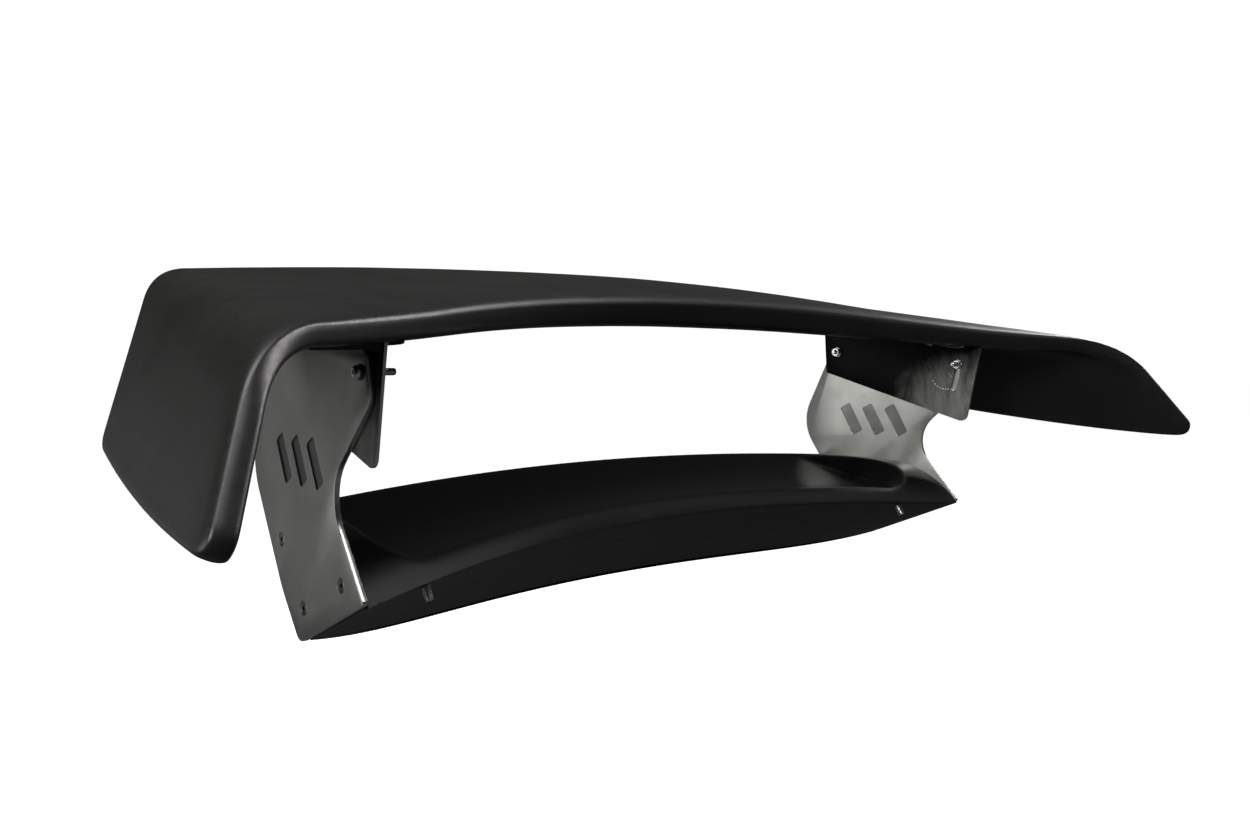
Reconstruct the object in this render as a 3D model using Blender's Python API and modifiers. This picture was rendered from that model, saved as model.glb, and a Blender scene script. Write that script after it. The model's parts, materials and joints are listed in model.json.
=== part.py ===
"""Racing rear wing on two toed-in uprights over a lower ducktail blade.

The crescent-shaped wing is a moulded shell: an upper and a lower skin around a
spar and four hard points, with its ends turned down into winglets. Two plate
brackets hang under it. Each bracket pivots on a rear bolt through its upright,
and a front bolt clamps it in one of three positions along an arc slot, so the
wing tilts about the line through the two rear bolts. The uprights are screwed
to the end ribs of a hollow lower blade, which bolts to a deck lid with two
studs and sits on a flat seat in the middle.

Axes: +X to the right end, +Y to the rear, +Z up, in metres. The origin is on
the underside of the lower blade's seat.
"""

import math

import bmesh
import bpy
from mathutils import Vector
from mathutils.bvhtree import BVHTree

GAP = 0.0003
BLOCK_GAP = 0.0012

# Shared layout. Heights and depths below are measured from the lower front
# corners of the uprights; seat_centre gives the origin in those measures.
UPRIGHT_FRONT_X = 0.450
TOE = math.radians(7.7)

# Wing planform: x, y and z of the leading edge and of the trailing edge fall
# away from the middle of the wing as the square of the distance from it. Near
# the winglets the leading edge flares forwards and upwards on top of that.
LEAD_MID = Vector((0.0, 0.083, 0.240))
LEAD_REACH = 0.548
LEAD_SWEEP = 0.605
LEAD_DROOP = 0.158
FLARE_START = 0.36
FLARE_SWEEP = 0.18
FLARE_RISE = 0.28
TRAIL_MID = Vector((0.0, 0.245, 0.279))
TRAIL_REACH = 0.470
TRAIL_SWEEP = 0.035
TRAIL_DROOP = 0.075
WING_STATIONS = (0.0, 0.15, 0.30, 0.45, 0.60, 0.74, 0.80, 0.87, 0.94, 1.0)

# Winglets: corners of the leading and trailing edges on the right-hand side.
LEAD_KNEE = Vector((0.607, -0.148, 0.197))
LEAD_FOOT = Vector((0.674, -0.220, 0.083))
TRAIL_KNEE = Vector((0.498, 0.241, 0.262))
TRAIL_FOOT = Vector((0.590, 0.129, 0.119))
# Shares of a winglet's edges, trailing and leading, that its bend takes up.
KNEE_SHARE = 0.19
LEAD_SHARE = 0.34
WINGLET_STATIONS = (0.25, 0.40, 0.55, 0.70, 0.80, 0.88, 0.94, 0.975, 1.0)
TOE_RADIUS = 0.033
HEEL_RADIUS = 0.014
FOOT_SAG = 0.0075

# Wing section: heights above and below the chord line, and the panel corners
# as fractions of the chord.
RISE_MID = 0.0136
RISE_END = 0.0075
BELLY_MID = 0.0270
BELLY_END = 0.0110
TRAIL_HALF = 0.0018
NOSE_HALF = 0.0008
NOSE_BLUNT = 0.6
CHORD_PANELS = 10
SKIN = 0.0022
SPAR_PANEL = (5, 6)
SPAR_STATION = 6
HARD_POINTS = ((5, 6, 3, 5), (6, 7, 6, 8))

# Tilt: the hinge line, and the arc of clamp positions in front of it.
HINGE = Vector((0.0, 0.169, 0.192))
CLAMP_RADIUS = 0.1703
FIRST_HOLE = math.radians(5.4)
HOLE_STEP = math.radians(5.0)
HOLE_COUNT = 3

# Uprights: outline corners (rearward, up) and their fillet radii.
PLATE = 0.005
UPRIGHT_OUTLINE = (
    (-0.0085, 0.1925, 0.006),
    (-0.0160, 0.1540, 0.020),
    (0.0642, 0.0795, 0.040),
    (-0.0003, -0.0005, 0.003),
    (0.1235, -0.0535, 0.012),
    (0.1600, -0.0120, 0.120),
    (0.2260, 0.0940, 0.057),
    (0.1720, 0.2130, 0.010),
    (0.1500, 0.2140, 0.030),
    (0.1050, 0.1930, 0.060),
)
MARK_BARS = (0.086, 0.118, 0.150)
MARK_HEIGHT = 0.101
MARK_SIZE = (0.0011, 0.016, 0.042)
MARK_SLANT = math.radians(-28.0)

# Brackets: a web beside the upright and a flange under the wing. Their holes
# are cut between two outward distances.
CUT_NEAR = 0.38
CUT_FAR = 0.48
BRACKET = 0.003
BRACKET_GAP = 0.0007
BRACKET_OUTLINE = (
    (-0.0300, 0.2040, 0.0),
    (-0.0115, 0.1010, 0.009),
    (0.1850, 0.1640, 0.003),
    (0.1900, 0.2000, 0.0),
)
UNDER_GAP = 0.0014
FLANGE_WIDTH = 0.024
FLANGE_SPAN = (-0.018, 0.188)
FLANGE_SCREWS = (0.030, 0.142)

# Lower blade: front edge, rear lip and rear foot, falling away in the same way.
BLADE_HALF = 0.445
BLADE_FRONT = (0.085, 0.085, 0.018, 0.021)
BLADE_LIP = (0.232, 0.040, 0.065, 0.0145)
BLADE_FOOT = (0.198, 0.086, -0.064, -0.0145)
FOOT_POWER = 6
LIP_EDGE = Vector((0.0045, -0.0045))
BLADE_SKIN = 0.003
BAND_HEIGHT = 0.015
DISH_HALF = 0.402
DISH_WALL = 0.030
SHOULDER_POWER = 4.6
BLADE_STATIONS = (0.2, 0.4, 0.6, 0.74, 0.83, 0.88, 0.905, 0.93, 0.955, 0.975, 1.0)
BLADE_STEPS = (0.0, 0.03, 0.07, 0.12, 0.2, 0.3, 0.45, 0.6, 0.75, 0.88, 0.96, 1.0)
UPRIGHT_SCREWS = ((0.0392, 0.0088), (0.1132, -0.0220), (0.1591, 0.0301))

UNDER_FRONT = 0.006
UNDER_REAR = 0.008

# Studs that hold the blade on the deck lid.
STUD_SHARE = 0.83
STUD_INSET = 0.014
STUD_RADIUS = 0.004
STUD_LENGTH = 0.012

# Fasteners.
M6_RADIUS = 0.003
BOLT_HEAD_RADIUS = 0.0056
BOLT_HEAD_HEIGHT = 0.004
WASHER_RADIUS = 0.0064
WASHER = 0.0012
NUT_FLATS = 0.010
NUT_HEIGHT = 0.005
CSK_RADIUS = 0.006
CLAMP_SLACK = 0.0014
CLAMP_END = 0.029
PIVOT_END = 0.020
ROUND_STEPS = 20


def clear_scene():
    for thing in list(bpy.data.objects):
        bpy.data.objects.remove(thing, do_unlink=True)


def material(name, colour, roughness, metallic):
    made = bpy.data.materials.new(name)
    made.use_nodes = True
    shader = made.node_tree.nodes["Principled BSDF"]
    shader.inputs["Base Color"].default_value = (*colour, 1.0)
    shader.inputs["Roughness"].default_value = roughness
    shader.inputs["Metallic"].default_value = metallic
    made.diffuse_color = (*colour, 1.0)
    return made


def collection(name, hidden=False):
    made = bpy.data.collections.new(name)
    made.hide_render = hidden
    bpy.context.scene.collection.children.link(made)
    return made


def empty(name, place, turn=0.0, parent=None):
    made = bpy.data.objects.new(name, None)
    made.empty_display_size = 0.03
    made.location = place
    made.rotation_euler.z = turn
    made.parent = parent
    PARTS.objects.link(made)
    return made


def object_from(name, mesh_data, look=None, parent=None, group=None):
    """A new object from a bmesh, with outward faces."""
    bmesh.ops.recalc_face_normals(mesh_data, faces=mesh_data.faces)
    if mesh_data.calc_volume(signed=True) < 0.0:
        bmesh.ops.reverse_faces(mesh_data, faces=mesh_data.faces)
    mesh = bpy.data.meshes.new(name)
    mesh_data.to_mesh(mesh)
    mesh_data.free()
    made = bpy.data.objects.new(name, mesh)
    (group or PARTS).objects.link(made)
    made.parent = parent
    if look:
        mesh.materials.append(look)
    return made


def cutter_from(name, mesh_data, parent):
    made = object_from(name, mesh_data, parent=parent, group=CUTTERS)
    made.hide_render = True
    made.display_type = "WIRE"
    return made


def smooth(thing, angle=35.0):
    for face in thing.data.polygons:
        face.use_smooth = True
    thing.data.set_sharp_from_angle(angle=math.radians(angle))


def boolean(thing, other, operation="DIFFERENCE"):
    step = thing.modifiers.new(f"{operation.lower()} {other.name}", "BOOLEAN")
    step.operation = operation
    step.solver = "EXACT"
    step.object = other


def bevelled(thing, width, segments=1):
    step = thing.modifiers.new("edge", "BEVEL")
    step.width = width
    step.segments = segments
    step.limit_method = "ANGLE"
    step.angle_limit = math.radians(50.0)


# Outlines ---------------------------------------------------------------


def filleted(outline, steps=6):
    """The (rearward, up) points of a polygon whose corners are rounded."""
    points = []
    count = len(outline)
    for index, (y, z, radius) in enumerate(outline):
        corner = Vector((y, z))
        if radius <= 0.0:
            points.append(corner)
            continue
        before = Vector(outline[index - 1][:2]) - corner
        after = Vector(outline[(index + 1) % count][:2]) - corner
        before.normalize()
        after.normalize()
        half = before.angle(after) / 2.0
        centre = corner + (before + after).normalized() * radius / math.sin(half)
        start = corner + before * radius / math.tan(half) - centre
        end = corner + after * radius / math.tan(half) - centre
        sweep = start.angle_signed(end)
        turns = max(2, min(steps, round(abs(sweep) * radius / 0.006) + 1))
        for step in range(turns + 1):
            turn = -sweep * step / turns
            cos, sin = math.cos(turn), math.sin(turn)
            points.append(
                centre
                + Vector((start.x * cos - start.y * sin, start.x * sin + start.y * cos))
            )
    return points


def slab(points, low, high):
    """A bmesh of a (rearward, up) outline drawn out along X from low to high."""
    made = bmesh.new()
    corners = [made.verts.new((low, y, z)) for y, z in points]
    face = made.faces.new(corners)
    drawn = bmesh.ops.extrude_face_region(made, geom=[face])
    moved = [item for item in drawn["geom"] if isinstance(item, bmesh.types.BMVert)]
    bmesh.ops.translate(made, verts=moved, vec=(high - low, 0.0, 0.0))
    return made


def lathe(name, profile, look, place, side, parent):
    """A turned piece: (radius, along) profile about the outward direction."""
    made = bmesh.new()
    line = [made.verts.new((radius, 0.0, along)) for radius, along in profile]
    ends = list(zip(line, line[1:]))
    if profile[0][0] > 0.0:
        ends.append((line[-1], line[0]))
    edges = [made.edges.new(pair) for pair in ends]
    bmesh.ops.spin(
        made, geom=line + edges, axis=(0.0, 0.0, 1.0), cent=(0.0, 0.0, 0.0),
        steps=ROUND_STEPS, angle=math.tau,
    )
    bmesh.ops.remove_doubles(made, verts=made.verts, dist=0.000001)
    turned = object_from(name, made, look, parent)
    turned.location = place
    turned.rotation_euler.y = side * math.pi / 2.0
    smooth(turned)
    return turned


def rod(radius, low, high, centre, side, steps=ROUND_STEPS):
    """A bmesh cylinder along X between two outward distances."""
    made = bmesh.new()
    bmesh.ops.create_cone(
        made, cap_ends=True, segments=steps, radius1=radius, radius2=radius,
        depth=high - low,
    )
    for corner in made.verts:
        x, y, z = corner.co
        corner.co = (side * (z + (low + high) / 2.0), centre[0] + x, centre[1] + y)
    return made


def prism(near, far):
    """A bmesh between two like polygons."""
    made = bmesh.new()
    near = [made.verts.new(point) for point in near]
    far = [made.verts.new(point) for point in far]
    made.faces.new(near)
    made.faces.new(far)
    for index, corner in enumerate(near):
        after = (index + 1) % len(near)
        made.faces.new((corner, near[after], far[after], far[index]))
    return made


def grid_solid(outer, inner):
    """A bmesh between two equal grids of points, closed around their edges."""
    made = bmesh.new()
    top = [[made.verts.new(point) for point in row] for row in outer]
    low = [[made.verts.new(point) for point in row] for row in inner]
    rows, columns = len(outer), len(outer[0])
    for i in range(rows - 1):
        for j in range(columns - 1):
            made.faces.new((top[i][j], top[i][j + 1], top[i + 1][j + 1], top[i + 1][j]))
            made.faces.new((low[i][j], low[i + 1][j], low[i + 1][j + 1], low[i][j + 1]))
    for i in range(rows - 1):
        for j in (0, columns - 1):
            made.faces.new((top[i][j], top[i + 1][j], low[i + 1][j], low[i][j]))
    for j in range(columns - 1):
        for i in (0, rows - 1):
            made.faces.new((top[i][j], top[i][j + 1], low[i][j + 1], low[i][j]))
    return made


# Wing -------------------------------------------------------------------


def mixed(first, second, share):
    return first + (second - first) * share


def edge_at(middle, reach, sweep, droop, share):
    x = reach * share
    return Vector((x, middle.y - sweep * x * x, middle.z - droop * x * x))


def lead_at(share):
    point = edge_at(LEAD_MID, LEAD_REACH, LEAD_SWEEP, LEAD_DROOP, share)
    flare = max(0.0, point.x - FLARE_START) ** 2
    return point + Vector((0.0, -FLARE_SWEEP * flare, FLARE_RISE * flare))


def trail_at(share):
    return edge_at(TRAIL_MID, TRAIL_REACH, TRAIL_SWEEP, TRAIL_DROOP, share)


def knee(start, corner, end, share):
    return mixed(mixed(start, corner, share), mixed(corner, end, share), share)


def pull_back(distance, radius):
    """How far a rounded corner lies inside a square one."""
    if distance >= radius:
        return 0.0
    return radius - math.sqrt(radius**2 - (radius - distance) ** 2)


def half_girth():
    """Stations from the middle of the wing to the foot of the right winglet.

    Each is (lead point, trail point, share of the way from root to winglet).
    """
    stations = [(lead_at(q), trail_at(q), q**2, 0.0) for q in WING_STATIONS]
    lead_low = mixed(LEAD_KNEE, LEAD_FOOT, LEAD_SHARE)
    trail_low = mixed(TRAIL_KNEE, TRAIL_FOOT, KNEE_SHARE)
    for share in (0.25, 0.5, 0.75, 1.0):
        lead = knee(lead_at(1.0), LEAD_KNEE, lead_low, share)
        trail = knee(trail_at(1.0), TRAIL_KNEE, trail_low, share)
        stations.append((lead, trail, 1.0, KNEE_SHARE * share))
    for share in WINGLET_STATIONS:
        down = (share - KNEE_SHARE) / (1.0 - KNEE_SHARE)
        lead = mixed(LEAD_KNEE, LEAD_FOOT, mixed(LEAD_SHARE, 1.0, down))
        trail = mixed(TRAIL_KNEE, TRAIL_FOOT, share)
        stations.append((lead, trail, 1.0, share))
    return stations


def bulge(fraction):
    """Thickness of a section along its chord, 1 at its fullest."""
    f = fraction
    return (2.969 * math.sqrt(f) - 1.26 * f - 3.516 * f**2 + 2.843 * f**3 - 1.036 * f**4)


def heights(fraction, end_share):
    """Distances of the upper and lower surfaces from the chord line.

    The nose grows blunter towards the winglets.
    """
    rise = RISE_MID + (RISE_END - RISE_MID) * end_share
    belly = BELLY_MID + (BELLY_END - BELLY_MID) * end_share
    edge = NOSE_HALF + (TRAIL_HALF - NOSE_HALF) * fraction
    high = rise * bulge(fraction ** (1.0 - NOSE_BLUNT * end_share))
    low = belly * bulge(fraction ** (0.75 - 0.4 * NOSE_BLUNT * end_share))
    return high + edge, -low - edge


def chord_fractions():
    return [(step / CHORD_PANELS) ** 1.8 for step in range(CHORD_PANELS + 1)]


def girth_frames():
    """Per station: lead point, chord vector, outward normal, share of the way
    to the winglet, how far the section is open, and the sag of its middle.
    """
    stations = half_girth()
    frames = []
    for index, (lead, trail, end_share, drop) in enumerate(stations):
        chord = (trail - lead).normalized()
        if index == 0:
            along = Vector((1.0, 0.0, 0.0))
        else:
            last = min(index + 1, len(stations) - 1)
            along = stations[last][0] - stations[index - 1][0]
            along += stations[last][1] - stations[index - 1][1]
        normal = along.cross(chord).normalized()
        left = (1.0 - drop) * (LEAD_FOOT - LEAD_KNEE).length
        lead = lead + chord * pull_back(left, TOE_RADIUS)
        trail = trail - chord * pull_back(left, HEEL_RADIUS)
        shut = min(1.0, (left + 0.0006) / 0.008)
        closing = math.sqrt(1.0 - (1.0 - shut) ** 2)
        sag = (LEAD_FOOT - LEAD_KNEE).normalized() * FOOT_SAG * drop**2
        frames.append((lead, trail - lead, normal, end_share, closing, sag))
    return frames


def girth_point(frame, fraction, height):
    lead, chord, normal = frame[:3]
    sag = frame[5] * 4.0 * fraction * (1.0 - fraction)
    return lead + chord * fraction + normal * height + sag


def skin_rows(upper, fractions):
    """Outer and inner point rows of the upper or lower skin, right half."""
    outer, inner = [], []
    for frame in girth_frames():
        end_share, closing = frame[3:5]
        outer_row, inner_row = [], []
        for fraction in fractions:
            high, low = (value * closing for value in heights(fraction, end_share))
            middle = (high + low) / 2.0
            if upper:
                out, back = high, max(high - SKIN, middle + GAP / 2.0)
            else:
                out, back = low, min(low + SKIN, middle - GAP / 2.0)
            outer_row.append(girth_point(frame, fraction, out))
            inner_row.append(girth_point(frame, fraction, back))
        outer.append(outer_row)
        inner.append(inner_row)
    return outer, inner


def mirrored(rows):
    """The rows of both halves, from the left end to the right end."""
    left = [[Vector((-p.x, p.y, p.z)) for p in row] for row in reversed(rows[1:])]
    return left + rows


def core_rows(stations, panels, gap):
    """Rows that fill the hollow between the skins over some panels."""
    fractions = chord_fractions()
    frames = girth_frames()
    top, low = [], []
    for index in stations:
        frame = frames[index]
        top_row, low_row = [], []
        for panel in panels:
            high, deep = heights(fractions[panel], frame[3])
            top_row.append(girth_point(frame, fractions[panel], high - SKIN - gap))
            low_row.append(girth_point(frame, fractions[panel], deep + SKIN + gap))
        top.append(top_row)
        low.append(low_row)
    return top, low


def belly_tree():
    """The wing's lower skin as a tree that rays can be cast at."""
    mesh = bpy.data.objects["wing_lower_skin"].data
    corners = [corner.co for corner in mesh.vertices]
    return BVHTree.FromPolygons(corners, [tuple(face.vertices) for face in mesh.polygons])


def underside(belly, x, y):
    """Height of the wing's lower skin above a point of the layout."""
    return belly.ray_cast(Vector((x, y, 0.0)), Vector((0.0, 0.0, 1.0)))[0].z


def build_wing():
    fractions = chord_fractions()
    for name, upper in (("wing_upper_skin", True), ("wing_lower_skin", False)):
        outer, inner = skin_rows(upper, fractions)
        skin = object_from(
            name, grid_solid(mirrored(outer), mirrored(inner)), GELCOAT, WING_FRAME
        )
        smooth(skin, 50.0)
    top, low = core_rows(range(SPAR_STATION), SPAR_PANEL, GAP)
    object_from(
        "wing_spar", grid_solid(mirrored(top), mirrored(low)), FOAM, WING_FRAME
    )
    for side, word in SIDES:
        for number, (first, last, front, back) in enumerate(HARD_POINTS, 1):
            top, low = core_rows((first, last), range(front, back + 1), BLOCK_GAP)
            for row in top + low:
                for point in row:
                    point.x *= side
            name = f"hard_point_{word}_{number}"
            object_from(name, grid_solid(top, low), ALUMINIUM, WING_FRAME)


# Brackets ---------------------------------------------------------------


def plate_x(y, offset):
    """Outward distance of a plane parallel to the uprights, inboard by offset."""
    return UPRIGHT_FRONT_X - offset / math.cos(TOE) - y * math.tan(TOE)


def from_hinge(radius, drop):
    """(rearward, up) of a point in front of the hinge, at an angle below it."""
    return Vector((HINGE.y - radius * math.cos(drop), HINGE.z - radius * math.sin(drop)))


def clamp_point(step):
    """(rearward, up) of one clamp position in the layout."""
    return from_hinge(CLAMP_RADIUS, FIRST_HOLE + HOLE_STEP * step)


def bracket_web(side, word, belly):
    """The flat of the bracket, with its top edge just under the wing."""
    outer = PLATE + BRACKET_GAP
    lower = filleted(BRACKET_OUTLINE)[1:-1]
    front, rear = BRACKET_OUTLINE[0][0], BRACKET_OUTLINE[-1][0]
    steps = 14
    top = []
    for step in range(steps + 1):
        y = rear + (front - rear) * step / steps
        z = underside(belly, plate_x(y, outer + BRACKET / 2.0), y) - UNDER_GAP
        top.append(Vector((y, z)))
    near = [(side * plate_x(y, outer), y, z) for y, z in lower + top]
    far = [(side * plate_x(y, outer + BRACKET), y, z) for y, z in lower + top]
    return object_from(f"bracket_{word}", prism(near, far), DARK_METAL, WING_FRAME)


def bracket_flange(side, word, belly):
    """The flange that follows the lower skin inboard of the web."""
    first, last = FLANGE_SPAN
    steps = 12
    top, low = [], []
    for step in range(steps + 1):
        y = first + (last - first) * step / steps
        outer_x = plate_x(y, PLATE + BRACKET_GAP + 0.001)
        top_row, low_row = [], []
        for x in (outer_x, outer_x - FLANGE_WIDTH / 2.0, outer_x - FLANGE_WIDTH):
            z = underside(belly, x, y) - UNDER_GAP
            top_row.append(Vector((side * x, y, z)))
            low_row.append(Vector((side * x, y, z - BRACKET)))
        top.append(top_row)
        low.append(low_row)
    return cutter_from(f"flange_{word}", grid_solid(top, low), WING_FRAME)


def arc_slot(side):
    """The slot that joins the clamp positions, with a seat at each."""
    reach = HOLE_STEP * (HOLE_COUNT - 1)
    half = M6_RADIUS + 0.0008
    outline = []
    for radius, order in ((CLAMP_RADIUS + half, 1), (CLAMP_RADIUS - half, -1)):
        for step in range(9)[::order]:
            drop = FIRST_HOLE + reach * step / 8
            outline.append(from_hinge(radius, drop))
    low, high = sorted((side * CUT_NEAR, side * CUT_FAR))
    yield slab(outline, low, high)
    for step in range(HOLE_COUNT):
        yield rod(half + 0.0004, CUT_NEAR, CUT_FAR, clamp_point(step), side, 24)


def build_bracket(side, word, belly):
    web = bracket_web(side, word, belly)
    boolean(web, bracket_flange(side, word, belly), "UNION")
    for number, shape in enumerate(arc_slot(side)):
        boolean(web, cutter_from(f"slot_{word}_{number}", shape, WING_FRAME))
    hole = rod(M6_RADIUS + 0.0006, CUT_NEAR, CUT_FAR, (HINGE.y, HINGE.z), side, 24)
    boolean(web, cutter_from(f"pivot_hole_{word}", hole, WING_FRAME))
    for number, y in enumerate(FLANGE_SCREWS, 1):
        flange_screw(side, word, number, y, web, belly)


def flange_screw(side, word, number, y, web, belly):
    """A button-head screw up through the flange, square to the lower skin."""
    x = plate_x(y, PLATE + BRACKET_GAP + 0.014)
    reach = 0.008
    behind, before = underside(belly, x, y + reach), underside(belly, x, y - reach)
    outside, inside = underside(belly, x + reach, y), underside(belly, x - reach, y)
    square = Vector((side * (inside - outside), before - behind, 2.0 * reach))
    turn = square.to_track_quat("Z", "Y").to_euler()
    profile = (
        (0.0, -0.0078), (0.0026, -0.0076), (0.0042, -0.0066), (0.0045, -0.0054),
        (0.0025, -0.0054), (0.0025, 0.0080), (0.0, 0.0080),
    )
    name = f"flange_screw_{word}_{number}"
    place = (side * x, y, underside(belly, x, y))
    screw = lathe(name, profile, STEEL, place, 0, WING_FRAME)
    screw.rotation_euler = turn
    hole = bmesh.new()
    bmesh.ops.create_cone(
        hole, cap_ends=True, segments=ROUND_STEPS, radius1=0.0030, radius2=0.0030,
        depth=0.030,
    )
    cutter = cutter_from(f"screw_hole_{word}_{number}", hole, WING_FRAME)
    cutter.location = place
    cutter.rotation_euler = turn
    for node in (web, bpy.data.objects["wing_lower_skin"]):
        boolean(node, cutter)
    boolean(bpy.data.objects[f"hard_point_{word}_{number}"], cutter)


# Uprights ---------------------------------------------------------------


def along_plate(y, depth=0.0):
    """Distance along a toed plate for a rearward distance met at some depth."""
    return (y + depth * math.sin(TOE)) / math.cos(TOE)


def bolt_centre(point):
    """Where a bolt that meets point in the middle of the bracket crosses the plate."""
    return Vector((along_plate(point.x, PLATE + BRACKET_GAP + BRACKET / 2.0), point.y))


def build_upright(side, word, frame):
    points = [Vector((along_plate(y), z)) for y, z in filleted(UPRIGHT_OUTLINE)]
    low, high = sorted((0.0, -side * PLATE))
    plate = object_from(f"upright_{word}", slab(points, low, high), ALUMINIUM, frame)
    bevelled(plate, 0.0004)
    bolts = [clamp_point(0), Vector((HINGE.y, HINGE.z))]
    for number, point in enumerate(bolts):
        hole = rod(M6_RADIUS + GAP, -0.010, 0.005, bolt_centre(point), side)
        boolean(plate, cutter_from(f"bolt_hole_{word}_{number}", hole, frame))
    for number, (y, z) in enumerate(UPRIGHT_SCREWS, 1):
        centre = (along_plate(y), z)
        hole = csk_cutter(centre, side)
        boolean(plate, cutter_from(f"csk_hole_{word}_{number}", hole, frame))
    for number, y in enumerate(MARK_BARS):
        for face, depth in (("out", 0.0), ("in", -PLATE)):
            bar = bmesh.new()
            bmesh.ops.create_cube(bar, size=1.0)
            bmesh.ops.scale(bar, verts=bar.verts, vec=MARK_SIZE)
            cutter = cutter_from(f"mark_{word}_{face}_{number}", bar, frame)
            cutter.location = (side * depth, along_plate(y), MARK_HEIGHT)
            cutter.rotation_euler.x = MARK_SLANT
            boolean(plate, cutter)
    return plate


def csk_cutter(centre, side):
    """A countersunk through hole as one turned cutter."""
    profile = (
        (M6_RADIUS + GAP, -0.010), (M6_RADIUS + GAP, -0.0034),
        (CSK_RADIUS + GAP, -0.0004), (CSK_RADIUS + GAP, 0.004),
    )
    made = bmesh.new()
    rings = []
    for radius, along in profile:
        ring = []
        for step in range(ROUND_STEPS):
            turn = math.tau * step / ROUND_STEPS
            y = centre[0] + radius * math.cos(turn)
            z = centre[1] + radius * math.sin(turn)
            ring.append(made.verts.new((side * along, y, z)))
        rings.append(ring)
    for ring, after in zip(rings, rings[1:]):
        for i in range(ROUND_STEPS):
            j = (i + 1) % ROUND_STEPS
            made.faces.new((ring[i], ring[j], after[j], after[i]))
    made.faces.new(rings[0])
    made.faces.new(rings[-1])
    return made


def hex_nut(name, place, side, frame):
    """A hexagon nut whose outer face is at place, with its bore."""
    made = rod(NUT_FLATS / math.sqrt(3.0), -NUT_HEIGHT, 0.0, (0.0, 0.0), side, 6)
    nut = object_from(name, made, STEEL, frame)
    nut.location = place
    bore = rod(M6_RADIUS + GAP, -2.0 * NUT_HEIGHT, NUT_HEIGHT, (0.0, 0.0), side)
    cutter = cutter_from(f"bore_{name}", bore, frame)
    cutter.location = place
    boolean(nut, cutter)
    return nut


def washer_profile(low, high, radius):
    bore = M6_RADIUS + GAP
    return ((bore, low), (bore, high), (radius, high), (radius, low))


def bolt_profile(seat, tip):
    """Pan head standing on seat, and a shank down to tip."""
    top = seat + BOLT_HEAD_HEIGHT
    return (
        (0.0, top), (0.0030, top - 0.0002), (0.0048, top - 0.0011),
        (BOLT_HEAD_RADIUS, top - 0.0026), (BOLT_HEAD_RADIUS, seat), (M6_RADIUS, seat),
        (M6_RADIUS, tip + 0.0008), (M6_RADIUS - 0.0008, tip), (0.0, tip),
    )


def build_bolts(side, word, frame):
    """The clamp bolt and the pivot bolt with their washers and nuts."""
    inside = PLATE + BRACKET_GAP + BRACKET
    for kind, point, slack, end in (
        ("clamp", clamp_point(0), CLAMP_SLACK, CLAMP_END),
        ("pivot", Vector((HINGE.y, HINGE.z)), 0.0005, PIVOT_END),
    ):
        place = Vector((0.0, *bolt_centre(point)))
        seat = GAP + WASHER + GAP
        inner = inside + slack
        lathe(f"{kind}_bolt_{word}", bolt_profile(seat, -end), STEEL, place, side, frame)
        lathe(
            f"{kind}_washer_out_{word}", washer_profile(GAP, GAP + WASHER, WASHER_RADIUS),
            STEEL, place, side, frame,
        )
        lathe(
            f"{kind}_washer_in_{word}",
            washer_profile(-inner - WASHER, -inner, WASHER_RADIUS), STEEL, place, side, frame,
        )
        nut_place = place + Vector((-side * (inner + WASHER + GAP), 0.0, 0.0))
        hex_nut(f"{kind}_nut_{word}", nut_place, side, frame)


def build_upright_screws(side, word, frame):
    profile = (
        (0.0, -0.0002), (CSK_RADIUS, -0.0002), (CSK_RADIUS, -0.0005),
        (M6_RADIUS, -0.0035), (M6_RADIUS, -0.0150), (0.0, -0.0150),
    )
    for number, (y, z) in enumerate(UPRIGHT_SCREWS, 1):
        place = (0.0, along_plate(y), z)
        lathe(f"upright_screw_{word}_{number}", profile, STEEL, place, side, frame)


# Lower blade ------------------------------------------------------------


def falling(curve, share, power=2):
    """(rearward, up) of a blade edge at a share of the half width."""
    y, sweep, z, droop = curve
    return Vector((y - sweep * share**2, z - droop * share**power))


def eased(value):
    value = min(max(value, 0.0), 1.0)
    return value * value * (3.0 - 2.0 * value)


def blade_top(share, step):
    """(rearward, up) of the blade's top surface."""
    front, lip = falling(BLADE_FRONT, share), falling(BLADE_LIP, share)
    rise = lip.y - front.y
    band = BAND_HEIGHT * (1.0 - (1.0 - min(step / 0.12, 1.0)) ** 2)
    dish = band + (rise - BAND_HEIGHT) * step**1.8
    shoulder = rise * (1.0 - (1.0 - step) ** SHOULDER_POWER)
    half = DISH_HALF - 0.05 * max(0.0, 1.0 - step / 0.35) ** 2
    half -= 0.03 * max(0.0, (step - 0.75) / 0.25) ** 2
    blend = eased((share * BLADE_HALF - half) / DISH_WALL + 0.5)
    y = front.x + (lip.x - front.x) * step
    return Vector((y, front.y + dish + (shoulder - dish) * blend))


def blade_outline(share):
    """Outer section of the blade from the front edge over the lip to the foot."""
    points = [blade_top(share, step) for step in BLADE_STEPS]
    edge = points[-1] + LIP_EDGE
    foot = falling(BLADE_FOOT, share, FOOT_POWER)
    return points + [mixed(edge, foot, step / 4) for step in range(5)]


def inset(points, depth):
    """The same section moved inwards, to the right of its direction."""
    moved = []
    last = len(points) - 1
    for index, point in enumerate(points):
        before = (point - points[max(index - 1, 0)]).normalized()
        after = (points[min(index + 1, last)] - point).normalized()
        along = (before + after).normalized()
        reach = depth / max(along.dot(after if index < last else before), 0.5)
        moved.append(point + Vector((along.y, -along.x)) * reach)
    return moved


def in_blade(share, point, margin=GAP):
    """A section point in space: the blade's ends lie along the uprights."""
    half = plate_x(point.x, PLATE + margin)
    return Vector((share * half, point.x, point.y))


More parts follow.
